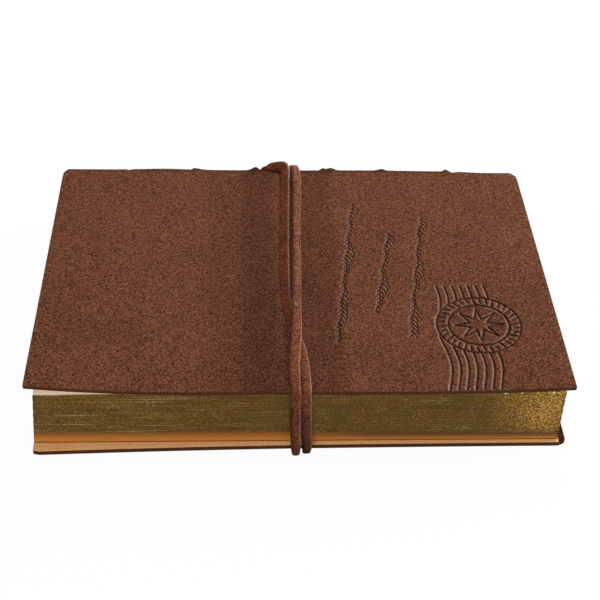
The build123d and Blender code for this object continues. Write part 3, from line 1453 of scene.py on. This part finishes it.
@dataclass
class PageBlock:
    """Folded signatures whose leaf edges show as fine uneven layers."""

    book: Book
    leaf_count: int = 72
    length_cuts: int = 90
    depth_cuts: int = 30
    leaf_play: float = 0.05
    signature_dip: float = 0.10
    dip_power: int = 6
    back_groove: float = 0.9
    tail_flare: float = 1.8
    tail_drop: float = 0.45
    tail_rate: float = 2.5
    seed: int = 11

    def build(self) -> bpy.types.Object:
        """Builds the page block and returns it, dressed."""
        bm = bmesh.new()
        bmesh.ops.create_cube(bm, size=1.0)
        for axis, cuts in enumerate((self.length_cuts, self.depth_cuts, self.leaf_count - 1)):
            edges = []
            for edge in bm.edges:
                span = edge.verts[1].co - edge.verts[0].co
                if abs(span[axis]) > ALONG * span.length:
                    edges.append(edge)
            bmesh.ops.subdivide_edges(bm, edges=edges, cuts=cuts, use_grid_fill=True)
        bm.normal_update()
        for face in bm.faces:
            is_gilt = face.normal.y < -ALONG or abs(face.normal.x) > ALONG
            face.material_index = (PageFace.GILT if is_gilt else PageFace.PAPER).value
        self.shape_leaves(bm)
        materials = [finish.material() for finish in (GiltEdge(self.book.page_low.z), CREAM_PAPER)]
        return finish_piece("journal_pages", bm, materials, SubPart.PAGES)

    def shape_leaves(self, bm: bmesh.types.BMesh) -> None:
        """Moves the unit block's points to the leaves' real places."""
        draw = random.Random(self.seed)
        play = [[draw.uniform(0.0, self.leaf_play) for _ in range(3)] for _ in range(self.leaf_count + 1)]
        low, high = self.book.page_low, self.book.page_high
        size = high - low
        half_unit = Vector((0.5, 0.5, 0.5))
        for vert in bm.verts:
            share = vert.co + half_unit
            row = round(share.z * self.leaf_count)
            phase = share.z * self.book.signature_count % 1.0
            dip = self.signature_dip * (abs(2 * phase - 1) ** self.dip_power)
            place = low + size * share
            place.z -= self.tail_drop * max(0.0, 1 - self.tail_rate * share.x) ** 2 * share.z
            if share.y < NEAR:
                place.y += play[row][0] + dip
            if share.y > 1 - NEAR:
                place.y -= self.back_groove * (2 * phase - 1) ** 2
            if share.x < NEAR:
                place.x += play[row][1] + dip - self.tail_flare * (1 - share.z)
            if share.x > 1 - NEAR:
                place.x -= play[row][2] + dip
            vert.co = place


@dataclass
class SewingThread:
    """Long stitches of plied thread on the outside of the spine."""

    book: Book
    radius: float = 0.5
    stitch_half: float = 14.2
    columns: tuple[float, ...] = (-51.0, 0.0, 51.0)
    leg: float = 1.3
    heel_run: float = 0.3
    heel_out: float = 0.1
    bow: float = 0.05
    step: float = 0.5
    sides: int = 10
    ply_depth: float = 0.16
    ply_length: float = 3.2
    stray: float = 0.12
    seed: int = 5

    def stations(self, column: float, row: float, draw: random.Random) -> list[Station]:
        """Places along one stitch.

        Args:
            column: Middle of the stitch along the book.
            row: Height of the stitch.
            draw: Source of small differences.

        Returns:
            The stitch's stations, with the turn of its plies.
        """
        half = self.stitch_half
        heel = half - self.heel_run
        proud = self.radius + CONTACT_GAP / 2
        profile = (
            (-half, -self.leg, 0.0), (-half, self.heel_out, 0.0), (-heel, proud, 0.0),
            (-half / 2, proud + self.bow, draw.uniform(-self.stray, self.stray)),
            (half / 2, proud, draw.uniform(-self.stray, self.stray)),
            (heel, proud, 0.0), (half, self.heel_out, 0.0), (half, -self.leg, 0.0),
        )
        points = [(column + x, self.book.spine_y + out, row + z) for x, out, z in profile]
        line = even_line(smooth_line(points), self.step)
        places = []
        for index, centre in enumerate(line):
            ahead = line[min(index + 1, len(line) - 1)] - line[max(index - 1, 0)]
            up = Vector((0, 0, 1))
            turn = 2 * math.pi * index * self.step / self.ply_length
            places.append(Station(centre, up, ahead.cross(up).normalized(), turn))
        return places

    def section(self, angle: float, station: Station) -> Point2:
        """Two-ply section, turned along the thread."""
        ply = self.ply_depth * math.cos(2 * (angle - station.change))
        radius = self.radius * (1 - self.ply_depth + ply)
        return (radius * math.cos(angle), radius * math.sin(angle))

    def build(self) -> bpy.types.Object:
        """Builds the stitches and returns them, dressed."""
        bm = bmesh.new()
        draw = random.Random(self.seed)
        for column in self.columns:
            for row in self.book.sewing_rows:
                sweep(bm, self.stations(column, row, draw), self.section, self.sides)
        return finish_piece("journal_stitches", bm, [WAXED_THREAD.material()], SubPart.THREAD)


@dataclass(frozen=True)
class Turn:
    """Control point of the lace's line, with the roll of its face in degrees and its share of the width."""

    x: float
    y: float
    z: float
    roll: float = 0.0
    girth: float = 1.0

    @property
    def place(self) -> Vector:
        """Place of the point."""
        return Vector((self.x, self.y, self.z))


@dataclass
class WrapLace:
    """Flat suede lace that goes twice round the book and crosses over itself on the front cover."""

    book: Book
    width: float = 3.55
    thickness: float = 1.75
    step: float = 0.7
    sides: int = 20
    edge_power: int = 11
    round_powers: Point2 = (0.5, 0.7)
    pressed_in: float = 1.1
    rear_stand: float = 2.0
    fore_stand: float = 2.2
    width_play: float = 0.05
    roll_play: float = 3.0
    drift_keep: float = 0.9
    drift_take: float = 0.1
    search_reach: int = 200
    seed: int = 3

    def upper_turns(self) -> list[Turn]:
        """Points from the upper slit over the front cover and down the fore-edge."""
        book = self.book
        spine, edge = book.spine_y, book.front_edge_y
        upper = book.slit_rows[0]
        top, over, rear, fore, low, under = self.levels()
        middle = (fore + low) / 2
        rows = (
            (2.4, spine - book.leather, upper), (2.4, rear - 0.8, upper), (2.3, rear, upper + 0.7),
            (1.9, rear, upper + 4.0), (1.3, rear, top - 2.6), (1.2, rear - 0.9, top - 0.7, -4),
            (1.8, rear - 5.0, top, -14, 1.05), (2.05, spine - 11, top + 0.6, -30, 1.08),
            (1.85, spine - 18, top + 0.9, -38, 1.06), (1.4, spine - 29, top + 0.9, -38, 1.05),
            (0.95, spine - 41, top + 0.9, -40, 1.03), (0.45, spine - 57, top + 0.9, -40, 1.02),
            (0.1, spine - 72, top + 0.8, -38, 1.02), (-0.3, spine - 84, top + 0.9, -36, 1.0),
            (-0.65, spine - 94, over - 0.7, -30, 1.0),
            (-1.0, spine - 104, over - 0.5, -12, 1.08), (-1.75, spine - 112, over - 0.4, 0, 1.12),
            (-2.3, edge + 13, over - 0.7, 2, 1.1), (-2.45, edge + 6, top + 0.4, 0, 1.08),
            (-2.25, edge + 1.5, top + 0.1, -2), (-2.15, fore, top - 0.3), (-2.1, fore - 0.2, top - 3.0),
            (-1.95, middle - 0.3, 14.0, 4), (-1.75, low - 0.6, 5.0, 3), (-1.65, low - 0.6, 2.2, 0, 0.88),
            (-1.6, low - 0.3, under + 0.1, 0, 0.66), (-1.7, low + 3.0, under, 0, 0.85),
        )
        return [Turn(*row) for row in rows]

    def lower_turns(self) -> list[Turn]:
        """Points from under the book up the spine, over the front cover and back to the lower slit."""
        book = self.book
        spine, edge = book.spine_y, book.front_edge_y
        lower = book.slit_rows[1]
        top, _, rear, fore, low, under = self.levels()
        pressed = top - self.pressed_in
        middle = (fore + low) / 2
        rows = (
            (-6.0, 0.0, under), (-9.6, rear - 6.0, under), (-10.0, rear - 0.4, under + 0.4),
            (-10.2, rear, 6.0), (-10.8, rear, 18.0), (-11.0, rear, top - 5.0),
            (-10.4, rear - 0.4, top - 1.9, 12), (-9.0, rear - 1.8, top - 0.4, 36),
            (-6.2, spine - 0.6, top + 0.3, 40, 1.2), (-2.9, spine - 1.0, top + 1.0, 34, 1.25),
            (-2.3, spine - 4.0, top + 0.2, 14, 1.1), (-2.7, spine - 9, pressed, 12, 1.15),
            (-3.1, spine - 20, pressed, 12, 1.15), (-3.6, spine - 36, pressed, 12, 1.15),
            (-4.1, spine - 56, pressed, 12, 1.12), (-4.4, spine - 72, pressed, 10, 1.1),
            (-4.2, spine - 84, pressed, 8, 1.05), (-3.2, spine - 95, pressed, 4),
            (-1.4, spine - 104, pressed), (0.2, spine - 111, top - 0.4),
            (1.0, spine - 118, top), (1.2, edge + 8, top),
            (1.45, edge + 1.5, top), (1.4, fore, top - 0.3), (1.4, fore - 0.2, top - 3.0),
            (1.7, middle - 0.2, 14.0, -4), (2.2, low - 0.1, 5.0, -3), (2.1, low + 0.2, 2.4, 0, 0.88),
            (1.9, low + 0.6, under + 0.1, 0, 0.68), (2.0, low + 3.5, under, 0, 0.85),
            (2.4, rear - 6.0, under), (2.4, rear - 0.4, under + 0.4), (2.4, rear, 4.0),
            (2.4, rear, lower - 0.7), (2.4, rear - 0.8, lower), (2.4, spine - book.leather, lower),
        )
        return [Turn(*row) for row in rows]

    def levels(self) -> tuple[float, float, float, float, float, float]:
        """Levels of the lace's line.

        Returns:
            Its height on the cover and on the lower strand, its place behind the spine, before the front
            cover and before the back cover, and its height under the book.
        """
        rest = CONTACT_GAP + self.thickness / 2
        top = self.book.cover_top + rest
        fore = self.book.front_edge_y - rest
        low = self.book.back_edge_y - self.fore_stand
        rear = self.book.spine_y + self.rear_stand
        return (top, top + self.thickness, rear, fore, low, self.thickness / 2)

    def facing(self, place: Vector) -> Vector:
        """Outward direction at a place round the book, which turns at the book's long edges."""
        middle_y = (self.book.spine_y + self.book.front_edge_y) / 2
        middle_z = (self.book.cover_top + self.book.back_z) / 2
        half_y = self.book.spine_y - middle_y
        half_z = self.book.cover_top - middle_z
        rearwards = ((place.y - middle_y) / half_y) ** self.edge_power
        upwards = ((place.z - middle_z) / half_z) ** self.edge_power
        return Vector((0.0, rearwards / half_y, upwards / half_z)).normalized()

    def between(self, route: Sequence[Turn], line: Sequence[Vector]) -> list[Point2]:
        """Roll and girth at each point of the line, between those of the control points.

        Args:
            route: Control points.
            line: Evenly spaced points of the line.

        Returns:
            One roll, in radians, and one girth for each point of the line.
        """
        anchors = []
        start = 0
        for turn in route:
            reach = range(start, min(start + self.search_reach, len(line)))
            start = min(reach, key=lambda index: (line[index] - turn.place).length)
            anchors.append((start, Vector((math.radians(turn.roll), turn.girth))))
        values = []
        span = 0
        for index in range(len(line)):
            while span < len(anchors) - 2 and anchors[span + 1][0] < index:
                span += 1
            (low, first), (high, last) = anchors[span], anchors[span + 1]
            share = min(1.0, max(0.0, (index - low) / max(1, high - low)))
            values.append(tuple(first.lerp(last, share)))
        return values

    def stations(self) -> list[Station]:
        """Places along the lace, with its face outwards from the book."""
        route = self.upper_turns() + self.lower_turns()
        line = even_line(smooth_line([turn.place for turn in route]), self.step)
        draw = random.Random(self.seed)
        places = []
        drift = 0.0
        for index, (centre, (roll, girth)) in enumerate(zip(line, self.between(route, line))):
            ahead = (line[min(index + 1, len(line) - 1)] - line[max(index - 1, 0)]).normalized()
            headwards = Vector((1, 0, 0)) - ahead * ahead.x
            across = (self.facing(centre).cross(ahead) + headwards).normalized()
            drift = self.drift_keep * drift + self.drift_take * draw.uniform(-1.0, 1.0)
            turn = Matrix.Rotation(roll + math.radians(self.roll_play) * drift, 3, ahead)
            across = turn @ across
            places.append(Station(centre, across, ahead.cross(across), girth + self.width_play * drift))
        return places

    def section(self, angle: float, station: Station) -> Point2:
        """Rounded flat section, wider or narrower along the lace."""
        flat, crown = self.round_powers
        across = math.copysign(abs(math.cos(angle)) ** flat, math.cos(angle))
        out = math.copysign(abs(math.sin(angle)) ** crown, math.sin(angle))
        return (across * self.width / 2 * station.change, out * self.thickness / 2)

    def build(self) -> bpy.types.Object:
        """Builds the lace and returns it, dressed."""
        bm = bmesh.new()
        sweep(bm, self.stations(), self.section, self.sides)
        return finish_piece("journal_lace", bm, [SuedeLace(self.book.cover_top).material()], SubPart.LACE)


@dataclass(frozen=True)
class SoftLight:
    """Square area lamp that points at the book."""

    name: str
    place: Triple
    size: float
    watts: float

    def build(self) -> None:
        """Adds the lamp to the scene."""
        lamp = bpy.data.lights.new(self.name, "AREA")
        lamp.size = self.size
        lamp.energy = self.watts
        holder = bpy.data.objects.new(self.name, lamp)
        holder.location = self.place
        holder.rotation_euler = (-Vector(self.place)).to_track_quat("-Z", "Y").to_euler()
        bpy.context.collection.objects.link(holder)


@dataclass
class Studio:
    """Plain pale floor, soft light and the camera at the photograph's angle."""

    floor_half: float = 3.0
    floor_colour: Colour = (0.60, 0.60, 0.60)
    white_share: float = 0.92
    white_level: float = 1.04
    ambient: float = 0.23
    camera_place: Triple = (-0.0198, -0.38452, 0.3353)
    camera_pitch: float = 40.0
    camera_yaw: float = -3.24
    camera_roll: float = 1.94
    focal_pixels: float = 1315.0
    image_pixels: float = 600.0
    sensor_width: float = 36.0
    clip_start: float = 0.01
    lights: tuple[SoftLight, ...] = (
        SoftLight("key", (0.75, 0.30, 0.62), 0.8, 7.3),
        SoftLight("front", (-0.22, -0.95, 0.45), 0.6, 4.2),
        SoftLight("back", (0.06, 0.42, 0.40), 0.5, 1.80),
    )

    def build_floor(self) -> None:
        """Lays the floor, which looks white and keeps the object's shadow."""
        bm = bmesh.new()
        bmesh.ops.create_grid(bm, x_segments=1, y_segments=1, size=self.floor_half)
        mesh = bpy.data.meshes.new("floor")
        bm.to_mesh(mesh)
        bm.free()
        floor = bpy.data.objects.new("floor", mesh)
        bpy.context.collection.objects.link(floor)
        material = bpy.data.materials.new("floor")
        material.use_nodes = True
        shader = Shader(material.node_tree)
        matte = shader.add("ShaderNodeBsdfDiffuse", {}, {"Color": self.floor_colour})
        white = shader.add("ShaderNodeEmission", {}, {"Color": WHITE, "Strength": self.white_level})
        shader.show("ShaderNodeOutputMaterial", shader.seen_or_lit(matte, white, self.white_share))
        mesh.materials.append(material)

    def build_world(self) -> None:
        """Gives soft light from all round, and white where it is seen directly."""
        world = bpy.data.worlds.new("studio")
        world.use_nodes = True
        shader = Shader(world.node_tree)
        lit, seen = (
            shader.add("ShaderNodeBackground", {}, {"Color": WHITE, "Strength": strength})
            for strength in (self.ambient, 1.0)
        )
        shader.show("ShaderNodeOutputWorld", shader.seen_or_lit(lit, seen))
        bpy.context.scene.world = world

    def build_camera(self) -> None:
        """Sets the camera where the photograph was taken from."""
        camera = bpy.data.cameras.new("camera")
        camera.sensor_width = self.sensor_width
        camera.lens = camera.sensor_width * self.focal_pixels / self.image_pixels
        camera.clip_start = self.clip_start
        holder = bpy.data.objects.new("camera", camera)
        tilt = Euler((math.radians(90.0 - self.camera_pitch), 0.0, math.radians(self.camera_yaw))).to_matrix()
        holder.rotation_euler = (tilt @ Matrix.Rotation(math.radians(self.camera_roll), 3, "Z")).to_euler()
        holder.location = self.camera_place
        bpy.context.collection.objects.link(holder)
        bpy.context.scene.camera = holder

    def build(self) -> None:
        """Sets up the whole studio."""
        self.build_floor()
        self.build_world()
        self.build_camera()
        for light in self.lights:
            light.build()
        bpy.context.scene.view_settings.view_transform = "Standard"


def main() -> None:
    """Builds the journal's pieces and the studio."""
    logging.basicConfig(level=logging.INFO, format="%(name)s: %(message)s")
    book = Book.from_frame()
    for assembly in (Cover(book), PageBlock(book), SewingThread(book), WrapLace(book)):
        piece = assembly.build()
        piece.data.calc_loop_triangles()
        LOG.info("%s has %d triangles", piece.name, len(piece.data.loop_triangles))
    Studio().build()


if __name__ == "__main__":
    main()
